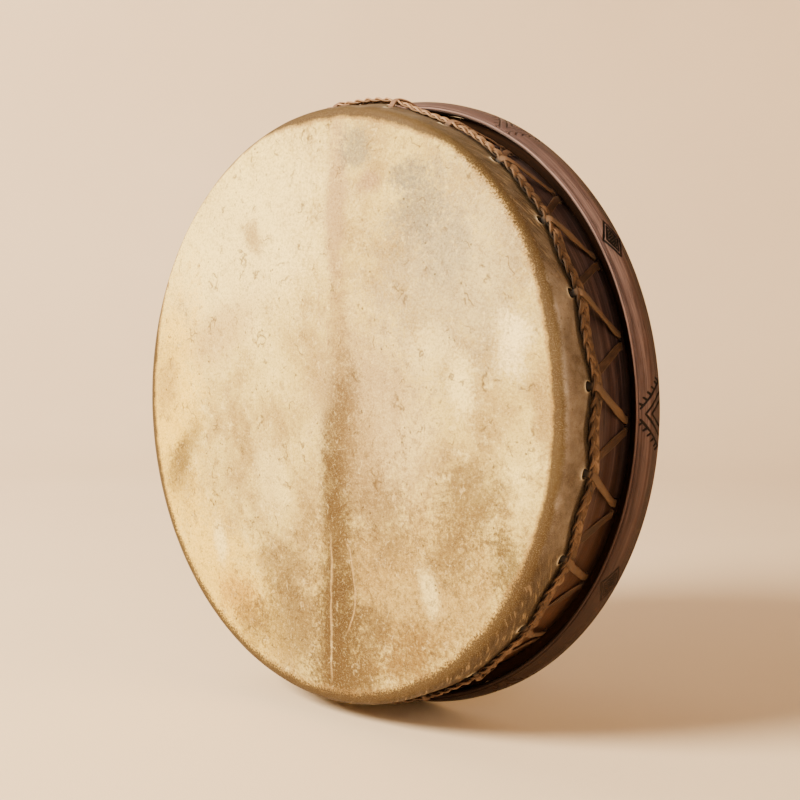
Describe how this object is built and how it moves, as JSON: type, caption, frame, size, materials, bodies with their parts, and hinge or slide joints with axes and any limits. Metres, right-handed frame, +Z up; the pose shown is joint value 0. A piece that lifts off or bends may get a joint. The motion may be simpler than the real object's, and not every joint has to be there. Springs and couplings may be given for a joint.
{
  "type": "frame drum",
  "caption": "Shallow round frame drum with a rawhide head laced by a leather thong over a plaited band to a dark wooden shell and a wider rear hoop.",
  "frame": {"origin": "on the ground, under the middle of the drum, which stands on the rim of its rear hoop", "axes": "+Z up; the drum's axis lies along Y, with the playing head facing -Y and the open back facing +Y; +X is the player-side left, seen from behind"},
  "size_m": [0.4464, 0.0844, 0.4464],
  "materials": {
    "rawhide": "matt translucent rawhide, mottled cream and tan",
    "shell_wood": "dark stained, satin",
    "spacer_wood": "mid brown, matt",
    "hoop_wood": "dark red-brown, waxed satin",
    "peg_wood": "plain, matt",
    "braid_leather": "tan, worn satin",
    "lace_leather": "tan brown, worn satin"
  },
  "bodies": {
    "root": {"drum_head": "rawhide", "shell_hoop": "shell_wood", "spacer_hoop": "spacer_wood", "carved_hoop": "hoop_wood", "hoop_peg_1": "peg_wood", "hoop_peg_2": "peg_wood", "hoop_peg_3": "peg_wood", "hoop_peg_4": "peg_wood", "hoop_peg_5": "peg_wood", "hoop_peg_6": "peg_wood", "hoop_peg_7": "peg_wood", "hoop_peg_8": "peg_wood", "braid_band": "braid_leather", "lace": "lace_leather", "lace_knot": "lace_leather"}
  },
  "joints": []
}
